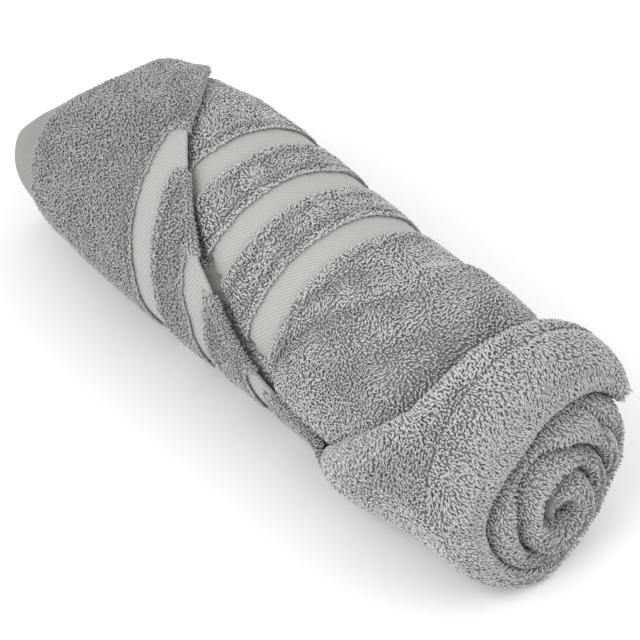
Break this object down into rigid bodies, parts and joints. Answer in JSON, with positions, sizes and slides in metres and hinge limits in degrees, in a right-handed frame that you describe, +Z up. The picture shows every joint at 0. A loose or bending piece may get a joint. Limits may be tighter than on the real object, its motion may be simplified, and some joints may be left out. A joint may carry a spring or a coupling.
{
  "type": "rolled bath towel",
  "caption": "Grey terry bath towel, folded along its length and rolled up, with a woven stripe border and a hem showing at one end.",
  "frame": {"origin": "on the floor, under the middle of the roll's box", "axes": "+X along the roll, towards its folded end; -X towards its hem end; +Z up"},
  "size_m": [0.3534, 0.1167, 0.1188],
  "materials": {
    "terry": "looped cotton terry with smooth twill stripes, matte"
  },
  "bodies": {
    "root": {"rolled_towel": "terry"}
  },
  "joints": []
}
